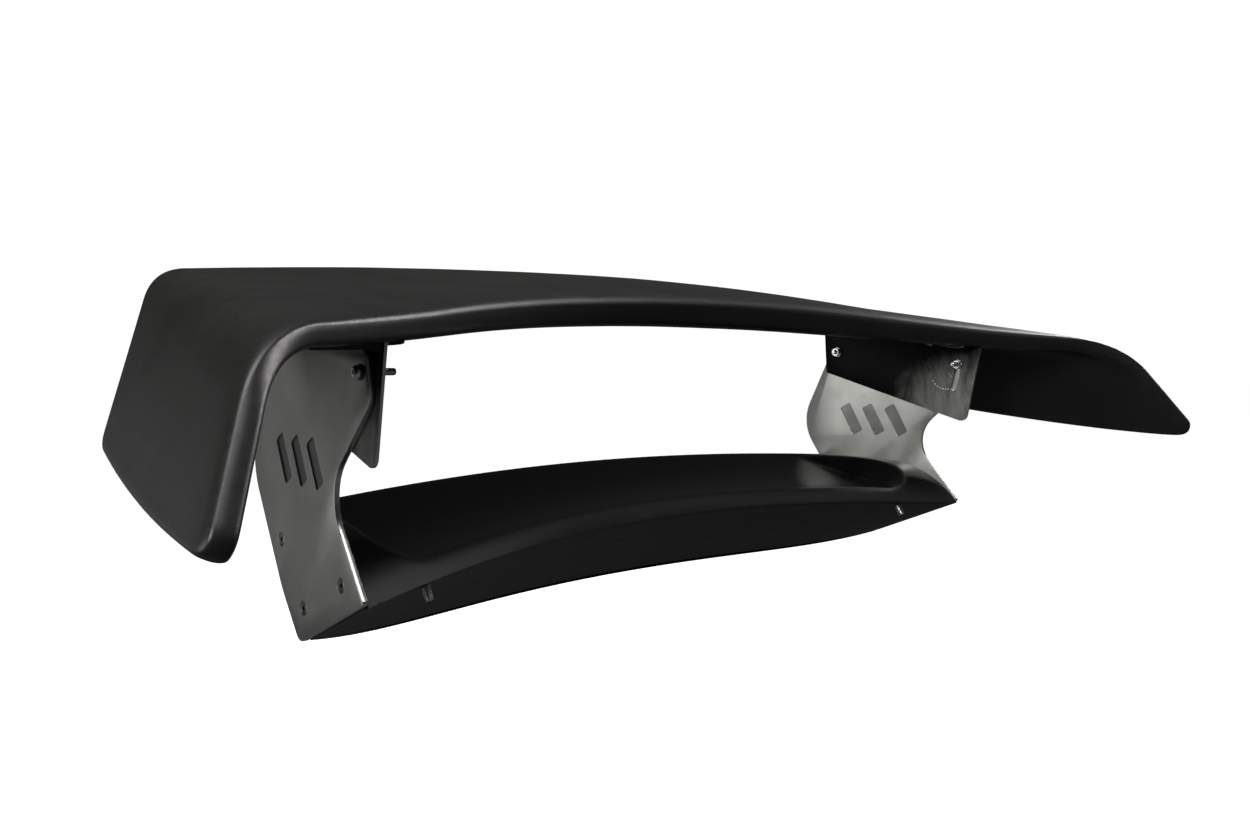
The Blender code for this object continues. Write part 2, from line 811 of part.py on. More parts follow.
def blade_shares():
    return [-share for share in reversed(BLADE_STATIONS)] + list(BLADE_STATIONS)


def under_line(share):
    """Start, rearward direction and upward normal of the blade's flat underside."""
    front, foot = falling(BLADE_FRONT, share), falling(BLADE_FOOT, share, FOOT_POWER)
    along = (foot - front).normalized()
    return front, along, Vector((-along.y, along.x)), (foot - front).length


def under_row(share, lift):
    """Section points along the underside, raised by lift."""
    front, along, up, length = under_line(share)
    start = front + along * UNDER_FRONT + up * lift
    end = front + along * (length - UNDER_REAR) + up * lift
    return [mixed(start, end, step / 4) for step in range(5)]


def seat_centre():
    """Middle of the flat facet at the centre of the blade's underside."""
    middle = under_row(BLADE_STATIONS[0], 0.0)[2]
    return Vector((0.0, middle.x, middle.y))


def build_blade():
    outer, inner, top, low = [], [], [], []
    for share in blade_shares():
        section = blade_outline(abs(share))
        inside = inset(section, BLADE_SKIN)
        front, along = under_line(abs(share))[:2]
        inside[0] = front + along * (UNDER_FRONT - 0.0010)
        outer.append([in_blade(share, point) for point in section])
        inner.append([in_blade(share, point) for point in inside])
        top.append([in_blade(share, point) for point in under_row(abs(share), BLADE_SKIN)])
        low.append([in_blade(share, point) for point in under_row(abs(share), 0.0)])
    skin = object_from("blade_top_skin", grid_solid(outer, inner), GELCOAT, DATUM)
    smooth(skin, 40.0)
    under = object_from("blade_under_skin", grid_solid(top, low), GELCOAT, DATUM)
    for side, word in SIDES:
        build_rib(side, word)
        build_stud(side, word, under)


def build_rib(side, word):
    """The solid end of the blade that the upright's screws thread into."""
    rings = []
    for share in BLADE_STATIONS[-2:]:
        section = inset(blade_outline(share), BLADE_SKIN + 0.0010)[2:-1]
        front, along, up, length = under_line(share)
        lift = up * (BLADE_SKIN + 0.0008)
        end = front + along * (length - 0.014) + lift
        start = front + along * 0.012 + lift
        ring = section + [end, start]
        rings.append([in_blade(side * share, point) for point in ring])
    rib = object_from(f"end_rib_{word}", prism(*rings), FOAM, DATUM)
    frame = bpy.data.objects[f"upright_frame_{word}"]
    for number, (y, z) in enumerate(UPRIGHT_SCREWS, 1):
        hole = rod(M6_RADIUS + GAP, -0.030, 0.002, (along_plate(y), z), side)
        boolean(rib, cutter_from(f"rib_hole_{word}_{number}", hole, frame))


def build_stud(side, word, under):
    """A stud through the under skin, with its head inside the blade."""
    front, along, up = under_line(STUD_SHARE)[:3]
    point = front + along * STUD_INSET
    place = in_blade(side * STUD_SHARE, point)
    seat = BLADE_SKIN + 0.0012
    profile = (
        (0.0, seat + 0.0025), (0.0058, seat + 0.0025), (0.0058, seat), (STUD_RADIUS, seat),
        (STUD_RADIUS, 0.0006 - STUD_LENGTH), (STUD_RADIUS - 0.0006, -STUD_LENGTH),
        (0.0, -STUD_LENGTH),
    )
    lean = math.atan2(along.y, along.x)
    stud = lathe(f"deck_stud_{word}", profile, STEEL, place, 0, DATUM)
    stud.rotation_euler = (lean, 0.0, 0.0)
    hole = bmesh.new()
    bmesh.ops.create_cone(
        hole, cap_ends=True, segments=ROUND_STEPS, radius1=STUD_RADIUS + 0.0005,
        radius2=STUD_RADIUS + 0.0005, depth=0.030,
    )
    cutter = cutter_from(f"stud_hole_{word}", hole, DATUM)
    cutter.location = place
    cutter.rotation_euler = (lean, 0.0, 0.0)
    boolean(under, cutter)


def build():
    build_wing()
    belly = belly_tree()
    for side, word in SIDES:
        frame = empty(
            f"upright_frame_{word}", (side * UPRIGHT_FRONT_X, 0.0, 0.0), side * TOE, DATUM
        )
        build_bracket(side, word, belly)
        build_upright(side, word, frame)
        build_bolts(side, word, frame)
        build_upright_screws(side, word, frame)
    build_blade()


clear_scene()
PARTS = collection("racing_rear_wing")
CUTTERS = collection("cutters", hidden=True)
GELCOAT = material("black_gelcoat", (0.012, 0.012, 0.013), 0.28, 0.0)
ALUMINIUM = material("blasted_aluminium", (0.16, 0.165, 0.155), 0.45, 1.0)
DARK_METAL = material("dark_bracket_metal", (0.045, 0.045, 0.045), 0.38, 1.0)
STEEL = material("stainless_steel", (0.55, 0.54, 0.52), 0.30, 1.0)
FOAM = material("core_foam", (0.55, 0.50, 0.38), 0.80, 0.0)
SIDES = ((-1, "left"), (1, "right"))
DATUM = empty("layout", -seat_centre())
HINGE_LINE = empty("tilt_axis", HINGE, parent=DATUM)
WING_FRAME = empty("wing_layout", -HINGE, parent=HINGE_LINE)
build()
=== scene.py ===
"""Racing rear wing: smooth shells, machined plates, threaded fasteners and
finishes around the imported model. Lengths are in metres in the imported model's
frame; "layout" lengths are measured from the lower front corners of the
uprights, and ORIGIN moves them into place from the wing's tilt axis.
"""

import json
import math

import bmesh
import bpy
from mathutils import Matrix, Vector, noise
from mathutils.bvhtree import BVHTree


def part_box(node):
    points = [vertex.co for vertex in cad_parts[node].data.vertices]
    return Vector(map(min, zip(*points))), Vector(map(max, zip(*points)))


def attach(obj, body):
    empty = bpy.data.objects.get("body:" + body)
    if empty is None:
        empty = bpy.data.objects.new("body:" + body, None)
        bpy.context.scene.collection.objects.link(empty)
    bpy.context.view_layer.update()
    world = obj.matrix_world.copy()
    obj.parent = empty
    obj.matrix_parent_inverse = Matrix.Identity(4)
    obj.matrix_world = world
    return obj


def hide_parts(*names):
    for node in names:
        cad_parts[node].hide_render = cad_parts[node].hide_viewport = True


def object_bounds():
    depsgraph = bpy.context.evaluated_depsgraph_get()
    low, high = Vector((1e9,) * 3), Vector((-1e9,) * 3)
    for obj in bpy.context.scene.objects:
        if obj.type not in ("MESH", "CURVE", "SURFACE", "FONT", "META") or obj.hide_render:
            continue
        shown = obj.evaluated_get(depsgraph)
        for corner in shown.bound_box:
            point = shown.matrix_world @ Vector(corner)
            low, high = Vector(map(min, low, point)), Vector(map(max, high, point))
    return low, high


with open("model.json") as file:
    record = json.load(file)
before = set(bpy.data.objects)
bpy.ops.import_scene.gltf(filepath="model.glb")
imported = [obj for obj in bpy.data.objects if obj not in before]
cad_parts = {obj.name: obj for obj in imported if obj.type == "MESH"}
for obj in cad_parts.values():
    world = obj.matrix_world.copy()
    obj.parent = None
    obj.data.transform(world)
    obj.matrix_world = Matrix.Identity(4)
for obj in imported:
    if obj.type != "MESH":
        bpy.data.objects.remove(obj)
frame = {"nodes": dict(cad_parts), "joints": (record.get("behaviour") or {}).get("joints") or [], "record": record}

CAD_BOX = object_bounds()
TILT = frame["joints"][0]

SIDES = ((-1, "left"), (1, "right"))
HINGE = Vector((0.0, 0.169, 0.192))
ORIGIN = Vector(TILT["pos_m"]) - HINGE

UPRIGHT_FRONT_X = 0.450
TOE = math.radians(7.7)
PLATE = 0.005
BRACKET = 0.003
BRACKET_GAP = 0.0007


def mixed(first, second, share):
    return first + (second - first) * share


def eased(value):
    value = min(max(value, 0.0), 1.0)
    return value * value * (3.0 - 2.0 * value)


# Meshes ---------------------------------------------------------------------


def piece(name, mesh_data, materials, body, turn=None, angle=40.0, stands_for=()):
    """A finished piece from a bmesh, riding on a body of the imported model."""
    bmesh.ops.recalc_face_normals(mesh_data, faces=mesh_data.faces)
    if mesh_data.calc_volume(signed=True) < 0.0:
        bmesh.ops.reverse_faces(mesh_data, faces=mesh_data.faces)
    mesh = bpy.data.meshes.new(name)
    mesh_data.to_mesh(mesh)
    mesh_data.free()
    if turn:
        mesh.transform(turn)
    for face in mesh.polygons:
        face.use_smooth = True
    mesh.set_sharp_from_angle(angle=math.radians(angle))
    made = bpy.data.objects.new(name, mesh)
    bpy.context.scene.collection.objects.link(made)
    for look in materials:
        mesh.materials.append(look)
    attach(made, body)
    if stands_for:
        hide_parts(*stands_for)
    return made


def helper(mesh_data):
    """A throwaway object with outward faces, for cuts."""
    bmesh.ops.recalc_face_normals(mesh_data, faces=mesh_data.faces)
    if mesh_data.calc_volume(signed=True) < 0.0:
        bmesh.ops.reverse_faces(mesh_data, faces=mesh_data.faces)
    mesh = bpy.data.meshes.new("helper")
    mesh_data.to_mesh(mesh)
    mesh_data.free()
    made = bpy.data.objects.new("helper", mesh)
    bpy.context.scene.collection.objects.link(made)
    return made


def carved(mesh_data, steps, bevel=0.0, segments=2, angle=35.0):
    """The bmesh after Boolean steps (operation, bmesh) and a bevel of its edges."""
    base = helper(mesh_data)
    others = []
    for operation, shape in steps:
        other = helper(shape)
        others.append(other)
        step = base.modifiers.new("cut", "BOOLEAN")
        step.operation = operation
        step.solver = "EXACT"
        step.object = other
    if bevel:
        step = base.modifiers.new("edge", "BEVEL")
        step.width = bevel
        step.segments = segments
        step.limit_method = "ANGLE"
        step.angle_limit = math.radians(angle)
    graph = bpy.context.evaluated_depsgraph_get()
    made = bmesh.new()
    made.from_object(base, graph)
    for thing in [base, *others]:
        mesh = thing.data
        bpy.data.objects.remove(thing)
        bpy.data.meshes.remove(mesh)
    return made


def grid(rows, closed_across=False):
    """A bmesh skin over rows of points."""
    made = bmesh.new()
    corners = [[made.verts.new(point) for point in row] for row in rows]
    width = len(rows[0])
    across = range(width if closed_across else width - 1)
    for row, after in zip(corners, corners[1:]):
        for j in across:
            k = (j + 1) % width
            made.faces.new((row[j], row[k], after[k], after[j]))
    return made, corners


def tube_of(rows):
    """A closed bmesh over rings of points, with both end rings filled."""
    made, corners = grid(rows, closed_across=True)
    made.faces.new(corners[0])
    made.faces.new(corners[-1])
    return made


def shell_of(outer, inner):
    """A closed bmesh between two equal grids of points."""
    rings = [row + list(reversed(back)) for row, back in zip(outer, inner)]
    return tube_of(rings)


def lathe(profile, steps=48):
    """A turned bmesh about Z from (radius, along) points."""
    made = bmesh.new()
    line = [made.verts.new((radius, 0.0, along)) for radius, along in profile]
    ends = list(zip(line, line[1:]))
    if profile[0][0] > 0.0:
        ends.append((line[-1], line[0]))
    edges = [made.edges.new(pair) for pair in ends]
    bmesh.ops.spin(
        made, geom=line + edges, axis=(0.0, 0.0, 1.0), cent=(0.0, 0.0, 0.0),
        steps=steps, angle=math.tau,
    )
    bmesh.ops.remove_doubles(made, verts=made.verts, dist=0.000001)
    return made


def prism_z(radius, low, high, steps, centre=(0.0, 0.0)):
    made = bmesh.new()
    bmesh.ops.create_cone(
        made, cap_ends=True, segments=steps, radius1=radius, radius2=radius, depth=high - low
    )
    shift = Vector((centre[0], centre[1], (low + high) / 2.0))
    bmesh.ops.translate(made, verts=made.verts, vec=shift)
    return made


def threaded(radius, low, high, pitch=0.001, steps=28):
    """A screw thread about Z: a helical ridge between two heights, with a chamfered tip."""
    made = bmesh.new()
    depth = 0.6 * pitch
    count = int((high - low) / pitch * 7)
    rings = []
    for index in range(count + 1):
        z = low + (high - low) * index / count
        ring = []
        for step in range(steps):
            phase = (z / pitch - step / steps) % 1.0
            ridge = abs(phase - 0.5) * 2.0
            tip = max(0.0, 1.0 - (z - low) / 0.0012)
            size = radius - depth * min(1.0, 1.15 * ridge) - 0.0007 * tip
            turn = math.tau * step / steps
            ring.append(made.verts.new((size * math.cos(turn), size * math.sin(turn), z)))
        rings.append(ring)
    for ring, after in zip(rings, rings[1:]):
        for i in range(steps):
            j = (i + 1) % steps
            made.faces.new((ring[i], ring[j], after[j], after[i]))
    made.faces.new(rings[0])
    made.faces.new(rings[-1])
    return made


def filleted(outline, steps=14):
    """The (rearward, up) points of a polygon whose corners are rounded."""
    points = []
    count = len(outline)
    for index, (y, z, radius) in enumerate(outline):
        corner = Vector((y, z))
        if radius <= 0.0:
            points.append(corner)
            continue
        before = (Vector(outline[index - 1][:2]) - corner).normalized()
        after = (Vector(outline[(index + 1) % count][:2]) - corner).normalized()
        half = before.angle(after) / 2.0
        centre = corner + (before + after).normalized() * radius / math.sin(half)
        start = corner + before * radius / math.tan(half) - centre
        end = corner + after * radius / math.tan(half) - centre
        sweep = start.angle_signed(end)
        for step in range(steps + 1):
            points.append(centre + Matrix.Rotation(-sweep * step / steps, 2) @ start)
    return points


def slab(points, low, high):
    """A bmesh of a (rearward, up) outline between two outward distances."""
    near = [Vector((low, y, z)) for y, z in points]
    far = [Vector((high, y, z)) for y, z in points]
    return tube_of([near, far])


# Materials ------------------------------------------------------------------


def shader(name):
    made = bpy.data.materials.new(name)
    made.use_nodes = True
    tree = made.node_tree
    return made, tree, tree.nodes["Principled BSDF"]


def coords(tree, scale):
    """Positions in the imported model's frame, stretched by scale."""
    where = tree.nodes.new("ShaderNodeTexCoord")
    mapping = tree.nodes.new("ShaderNodeMapping")
    mapping.inputs["Scale"].default_value = scale
    tree.links.new(where.outputs["Object"], mapping.inputs["Vector"])
    return mapping.outputs["Vector"]


def speckle(tree, scale, size, detail=6.0, rough=0.6, warp=0.0):
    made = tree.nodes.new("ShaderNodeTexNoise")
    made.inputs["Scale"].default_value = size
    made.inputs["Detail"].default_value = detail
    made.inputs["Roughness"].default_value = rough
    made.inputs["Distortion"].default_value = warp
    tree.links.new(coords(tree, scale), made.inputs["Vector"])
    return made.outputs["Fac"]


def ramp(tree, factor, stops):
    """A colour ramp of (position, colour) stops."""
    made = tree.nodes.new("ShaderNodeValToRGB")
    line = made.color_ramp
    while len(line.elements) < len(stops):
        line.elements.new(0.5)
    for element, (place, colour) in zip(line.elements, stops):
        element.position = place
        element.color = (*colour, 1.0)
    tree.links.new(factor, made.inputs["Fac"])
    return made.outputs["Color"]


def ranged(tree, factor, low, high, start=0.3, end=0.7):
    made = tree.nodes.new("ShaderNodeMapRange")
    made.inputs["From Min"].default_value = start
    made.inputs["From Max"].default_value = end
    made.inputs["To Min"].default_value = low
    made.inputs["To Max"].default_value = high
    tree.links.new(factor, made.inputs["Value"])
    return made.outputs["Result"]


def blended(tree, factor, first, second):
    made = tree.nodes.new("ShaderNodeMix")
    made.data_type = "RGBA"
    tree.links.new(factor, made.inputs["Factor"])
    tree.links.new(first, made.inputs[6])
    tree.links.new(second, made.inputs[7])
    return made.outputs[2]


def bumped(tree, heights, surface):
    """Bumps chained from (factor, strength, distance)."""
    before = None
    for factor, strength, distance in heights:
        made = tree.nodes.new("ShaderNodeBump")
        made.inputs["Strength"].default_value = strength
        made.inputs["Distance"].default_value = distance
        tree.links.new(factor, made.inputs["Height"])
        if before:
            tree.links.new(before, made.inputs["Normal"])
        before = made.outputs["Normal"]
    tree.links.new(before, surface.inputs["Normal"])


def gelcoat(name, dark, light, smooth, rough, sanding):
    """Black laminate: cloudy colour, uneven gloss and streaks from sanding."""
    made, tree, surface = shader(name)
    clouds = speckle(tree, (1.0, 1.6, 1.6), 7.0, 5.0, 0.55, 0.6)
    tree.links.new(ramp(tree, clouds, ((0.35, dark), (0.68, light))), surface.inputs["Base Color"])
    streaks = speckle(tree, (2.0, 26.0, 26.0), 9.0, 8.0, 0.7, 0.3)
    tree.links.new(ranged(tree, streaks, smooth, rough), surface.inputs["Roughness"])
    waves = speckle(tree, (1.0, 1.0, 1.0), 16.0, 2.0, 0.4)
    bumped(tree, ((waves, 0.25, 0.0012), (streaks, sanding, 0.0006)), surface)
    surface.inputs["Specular IOR Level"].default_value = 0.5
    return made


def numbers(tree, operation, first, second):
    """A maths node over two values, each a socket or a number."""
    made = tree.nodes.new("ShaderNodeMath")
    made.operation = operation
    for socket, value in zip(made.inputs, (first, second)):
        if isinstance(value, float):
            socket.default_value = value
        else:
            tree.links.new(value, socket)
    return made.outputs["Value"]


def blade_finish(name):
    """Glossy black laminate, sanded matt in a soft band along the swept front edge."""
    made, tree, surface = shader(name)
    where = tree.nodes.new("ShaderNodeTexCoord")
    split = tree.nodes.new("ShaderNodeSeparateXYZ")
    tree.links.new(where.outputs["Object"], split.inputs[0])
    clouds = speckle(tree, (1.0, 1.6, 1.6), 7.0, 5.0, 0.55, 0.6)
    sweep = BLADE_FRONT[1] / BLADE_HALF**2
    square = numbers(tree, "MULTIPLY", split.outputs["X"], split.outputs["X"])
    swept = numbers(tree, "MULTIPLY", square, sweep)
    back = numbers(tree, "ADD", swept, split.outputs["Y"])
    back = numbers(tree, "SUBTRACT", back, BLADE_FRONT[0] + ORIGIN.y)
    uneven = numbers(tree, "MULTIPLY", clouds, 0.012)
    back = numbers(tree, "ADD", back, uneven)
    band = ranged(tree, back, 1.0, 0.0, 0.010, 0.030)
    gloss = ramp(tree, clouds, ((0.35, (0.0045, 0.0045, 0.005)), (0.68, (0.0075, 0.0075, 0.008))))
    matt = ramp(tree, clouds, ((0.35, (0.0085, 0.0080, 0.0082)), (0.68, (0.013, 0.0122, 0.0126))))
    tree.links.new(blended(tree, band, gloss, matt), surface.inputs["Base Color"])
    rough = tree.nodes.new("ShaderNodeMapRange")
    rough.inputs["To Min"].default_value = 0.17
    rough.inputs["To Max"].default_value = 0.44
    tree.links.new(band, rough.inputs["Value"])
    streaks = speckle(tree, (2.0, 20.0, 20.0), 9.0, 6.0, 0.6, 0.3)
    uneven = numbers(tree, "MULTIPLY", streaks, 0.06)
    tree.links.new(numbers(tree, "ADD", rough.outputs["Result"], uneven), surface.inputs["Roughness"])
    waves = speckle(tree, (1.0, 1.0, 1.0), 12.0, 2.0, 0.4)
    bumped(tree, ((waves, 0.12, 0.0010), (streaks, 0.02, 0.0004)), surface)
    return made


def metal(name, dark, light, smooth, rough, grain, stretch=(1.0, 1.0, 1.0)):
    """Metal with uneven tone, roughness and a fine grain."""
    made, tree, surface = shader(name)
    clouds = speckle(tree, (1.0, 1.0, 1.0), 18.0, 6.0, 0.6, 0.4)
    tree.links.new(ramp(tree, clouds, ((0.3, dark), (0.7, light))), surface.inputs["Base Color"])
    surface.inputs["Metallic"].default_value = 1.0
    fine = speckle(tree, stretch, 900.0, 3.0, 0.7)
    mottle = speckle(tree, stretch, 60.0, 6.0, 0.65)
    tree.links.new(ranged(tree, mottle, smooth, rough), surface.inputs["Roughness"])
    bumped(tree, ((fine, grain, 0.0002), (mottle, grain * 0.5, 0.0002)), surface)
    return made


def bracket_finish_and_painted_light(name, corner):
    """Dark plate with painted light: lighter around one corner, with scuffs."""
    made, tree, surface = shader(name)
    where = tree.nodes.new("ShaderNodeTexCoord")
    away = tree.nodes.new("ShaderNodeVectorMath")
    away.operation = "DISTANCE"
    away.inputs[1].default_value = corner
    tree.links.new(where.outputs["Object"], away.inputs[0])
    smudge_and_painted_light = speckle(tree, (1.0, 2.2, 1.0), 24.0, 7.0, 0.62, 0.8)
    total = tree.nodes.new("ShaderNodeMath")
    total.operation = "MULTIPLY_ADD"
    total.inputs[1].default_value = -0.05
    tree.links.new(smudge_and_painted_light, total.inputs[0])
    tree.links.new(away.outputs["Value"], total.inputs[2])
    # Painted light: near the corner the plate's colour blends from dark to light grey.
    near = ranged(tree, total.outputs["Value"], 1.0, 0.0, -0.005, 0.055)
    dark = ramp(tree, smudge_and_painted_light, ((0.3, (0.0040, 0.0040, 0.0043)), (0.7, (0.0075, 0.0075, 0.0075))))
    light = ramp(tree, smudge_and_painted_light, ((0.3, (0.17, 0.167, 0.157)), (0.7, (0.30, 0.295, 0.277))))
    tree.links.new(blended(tree, near, dark, light), surface.inputs["Base Color"])
    scuffs = speckle(tree, (1.0, 60.0, 8.0), 30.0, 5.0, 0.7)
    tree.links.new(ranged(tree, scuffs, 0.30, 0.46), surface.inputs["Roughness"])
    surface.inputs["Specular IOR Level"].default_value = 0.06
    bumped(tree, ((scuffs, 0.10, 0.0002),), surface)
    return made


def foam(name):
    """Closed-cell core: fine cells over a cloudy cream colour."""
    made, tree, surface = shader(name)
    clouds = speckle(tree, (1.0, 1.0, 1.0), 40.0, 4.0)
    colour = ramp(tree, clouds, ((0.3, (0.46, 0.39, 0.26)), (0.7, (0.62, 0.55, 0.40))))
    tree.links.new(colour, surface.inputs["Base Color"])
    cells = tree.nodes.new("ShaderNodeTexVoronoi")
    cells.inputs["Scale"].default_value = 700.0
    tree.links.new(coords(tree, (1.0, 1.0, 1.0)), cells.inputs["Vector"])
    tree.links.new(ranged(tree, clouds, 0.7, 0.9), surface.inputs["Roughness"])
    bumped(tree, ((cells.outputs["Distance"], 0.5, 0.0004),), surface)
    return made


WING_BLACK = gelcoat("wing_gelcoat", (0.0088, 0.0086, 0.0079), (0.0132, 0.0129, 0.0120), 0.34, 0.46, 0.06)
UNDER_BLACK = gelcoat("blade_under_laminate", (0.008, 0.008, 0.0088), (0.012, 0.012, 0.013), 0.42, 0.55, 0.05)
BLASTED = metal("blasted_aluminium", (0.36, 0.362, 0.338), (0.44, 0.442, 0.415), 0.33, 0.40, 0.25)
MACHINED = metal(
    "machined_aluminium", (0.66, 0.66, 0.64), (0.82, 0.82, 0.80), 0.22, 0.34, 0.10, (1.0, 0.02, 0.02)
)
POCKET = metal("milled_pocket", (0.11, 0.112, 0.108), (0.17, 0.172, 0.166), 0.26, 0.38, 0.16)
STEEL = metal("stainless_steel", (0.62, 0.61, 0.59), (0.82, 0.81, 0.79), 0.18, 0.32, 0.08)
DARK_STEEL = metal("oiled_steel", (0.14, 0.135, 0.125), (0.26, 0.235, 0.21), 0.22, 0.38, 0.10)
FLANGE_METAL = metal("shaded_bracket_metal", (0.030, 0.030, 0.031), (0.052, 0.051, 0.050), 0.30, 0.45, 0.15)
PAINT_DOT = metal("engraved_dot", (0.62, 0.61, 0.58), (0.82, 0.81, 0.79), 0.22, 0.36, 0.06)
CORE = foam("closed_cell_core")


# Wing -----------------------------------------------------------------------

LEAD_MID = Vector((0.0, 0.083, 0.240))
LEAD_REACH = 0.548
LEAD_SWEEP = 0.605
LEAD_DROOP = 0.158
FLARE_START = 0.36
FLARE_SWEEP = 0.18
FLARE_RISE = 0.28
TRAIL_MID = Vector((0.0, 0.245, 0.279))
TRAIL_REACH = 0.470
TRAIL_SWEEP = 0.035
TRAIL_DROOP = 0.075
LEAD_KNEE = Vector((0.607, -0.148, 0.197))
LEAD_FOOT = Vector((0.674, -0.220, 0.083))
TRAIL_KNEE = Vector((0.498, 0.241, 0.262))
TRAIL_FOOT = Vector((0.590, 0.129, 0.119))
KNEE_SHARE = 0.19
LEAD_SHARE = 0.34
TOE_RADIUS = 0.033
HEEL_RADIUS = 0.014
FOOT_SAG = 0.0075
RISE_MID = 0.0136
RISE_END = 0.0075
BELLY_MID = 0.0270
BELLY_END = 0.0110
TRAIL_HALF = 0.0018
NOSE_HALF = 0.0008
NOSE_BLUNT = 0.6
CHORD_STEPS = 30

# Unevenness of a surface sanded by hand, and the distance the smooth toes keep
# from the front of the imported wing.
HAND_WAVE = 0.00035
HAND_RIPPLE = 0.00010
BOX_MARGIN = 0.0001


def lead_at(share):
    x = LEAD_REACH * share
    flare = max(0.0, x - FLARE_START) ** 2
    y = LEAD_MID.y - LEAD_SWEEP * x * x - FLARE_SWEEP * flare
    return Vector((x, y, LEAD_MID.z - LEAD_DROOP * x * x + FLARE_RISE * flare))


def trail_at(share):
    x = TRAIL_REACH * share
    return Vector((x, TRAIL_MID.y - TRAIL_SWEEP * x * x, TRAIL_MID.z - TRAIL_DROOP * x * x))


def knee(start, corner, end, share):
    return mixed(mixed(start, corner, share), mixed(corner, end, share), share)


def pull_back(distance, radius):
    if distance >= radius:
        return 0.0
    return radius - math.sqrt(radius**2 - (radius - distance) ** 2)


def half_girth():
    """(lead, trail, share towards the winglet, drop) from the middle to the right foot."""
    stations = [(lead_at(i / 40), trail_at(i / 40), (i / 40) ** 2, 0.0) for i in range(41)]
    lead_low = mixed(LEAD_KNEE, LEAD_FOOT, LEAD_SHARE)
    trail_low = mixed(TRAIL_KNEE, TRAIL_FOOT, KNEE_SHARE)
    for step in range(1, 17):
        share = step / 16
        lead = knee(lead_at(1.0), LEAD_KNEE, lead_low, share)
        trail = knee(trail_at(1.0), TRAIL_KNEE, trail_low, share)
        stations.append((lead, trail, 1.0, KNEE_SHARE * share))
    for step in range(1, 41):
        down = math.sin(step / 40 * math.pi / 2.0)
        share = mixed(KNEE_SHARE, 1.0, down)
        lead = mixed(LEAD_KNEE, LEAD_FOOT, mixed(LEAD_SHARE, 1.0, down))
        trail = mixed(TRAIL_KNEE, TRAIL_FOOT, share)
        stations.append((lead, trail, 1.0, share))
    return stations


def bulge(f):
    return 2.969 * math.sqrt(f) - 1.26 * f - 3.516 * f**2 + 2.843 * f**3 - 1.036 * f**4


def heights(fraction, end_share):
    """Distances of the upper and lower surfaces from the chord line."""
    rise = mixed(RISE_MID, RISE_END, end_share)
    belly = mixed(BELLY_MID, BELLY_END, end_share)
    edge = NOSE_HALF * min(1.0, fraction * 40.0) + (TRAIL_HALF - NOSE_HALF) * fraction
    high = rise * bulge(fraction ** (1.0 - NOSE_BLUNT * end_share))
    low = belly * bulge(fraction ** (0.75 - 0.4 * NOSE_BLUNT * end_share))
    return high + edge, -low - edge


def wing_rings():
    """Closed section rings from the left winglet's foot to the right one's."""
    stations = half_girth()
    fractions = [(step / CHORD_STEPS) ** 2.2 for step in range(CHORD_STEPS + 1)]
    rings = []
    for index, (lead, trail, end_share, drop) in enumerate(stations):
        chord = (trail - lead).normalized()
        if index == 0:
            along = Vector((1.0, 0.0, 0.0))
        else:
            after = stations[min(index + 1, len(stations) - 1)]
            before = stations[index - 1]
            along = after[0] - before[0] + after[1] - before[1]
        normal = along.cross(chord).normalized()
        left = (1.0 - drop) * (LEAD_FOOT - LEAD_KNEE).length
        lead = lead + chord * pull_back(left, TOE_RADIUS)
        trail = trail - chord * pull_back(left, HEEL_RADIUS)
        shut = min(1.0, (left + 0.00003) / 0.008)
        closing = math.sqrt(1.0 - (1.0 - shut) ** 2)
        sag = (LEAD_FOOT - LEAD_KNEE).normalized() * FOOT_SAG * drop**2
        upper, lower = [], []
        for fraction in fractions:
            high, low = heights(fraction, end_share)
            place = lead + (trail - lead) * fraction + sag * 4.0 * fraction * (1.0 - fraction)
            upper.append(place + normal * high * closing)
            lower.append(place + normal * low * closing)
        rings.append(list(reversed(upper)) + lower[1:])
    left = [[Vector((-p.x, p.y, p.z)) for p in ring] for ring in reversed(rings[1:])]
    return left + rings


def build_wing():
    rings = wing_rings()
    front = min(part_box("wing_lower_skin")[0][1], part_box("wing_upper_skin")[0][1])
    for ring in rings:
        for point in ring:
            point.z += HAND_WAVE * noise.noise(point * 9.0) + HAND_RIPPLE * noise.noise(point * 30.0)
            point += ORIGIN
            point.y = max(point.y, front + BOX_MARGIN)
    piece(
        "wing_shell", tube_of(rings), [WING_BLACK], "wing", angle=60.0,
        stands_for=("wing_upper_skin", "wing_lower_skin"),
    )
    return rings


# Lower blade ----------------------------------------------------------------

BLADE_FRONT = (0.085, 0.085, 0.018, 0.021)
BLADE_LIP = (0.232, 0.040, 0.065, 0.0145)
BLADE_FOOT = (0.198, 0.086, -0.064, -0.0145)
FOOT_POWER = 6
BLADE_HALF = 0.445
BLADE_SKIN = 0.003
BAND_HEIGHT = 0.015
DISH_HALF = 0.402
DISH_WALL = 0.030
SHOULDER_POWER = 4.6
UNDER_FRONT = 0.006
UNDER_REAR = 0.008
BLADE_ROWS = 110
BLADE_STEPS = 44


def plate_x(y, offset):
    return UPRIGHT_FRONT_X - offset / math.cos(TOE) - y * math.tan(TOE)


def falling(curve, share, power=2):
    y, sweep, z, droop = curve
    return Vector((y - sweep * share**2, z - droop * abs(share) ** power))


def blade_top(share, step):
    front, lip = falling(BLADE_FRONT, share), falling(BLADE_LIP, share)
    rise = lip.y - front.y
    band = BAND_HEIGHT * (1.0 - (1.0 - min(step / 0.12, 1.0)) ** 2)
    dish = band + (rise - BAND_HEIGHT) * step**1.8
    shoulder = rise * (1.0 - (1.0 - step) ** SHOULDER_POWER)
    half = DISH_HALF - 0.05 * max(0.0, 1.0 - step / 0.35) ** 2
    half -= 0.03 * max(0.0, (step - 0.75) / 0.25) ** 2
    blend = eased((abs(share) * BLADE_HALF - half) / DISH_WALL + 0.5)
    y = front.x + (lip.x - front.x) * step
    return Vector((y, front.y + dish + (shoulder - dish) * blend))


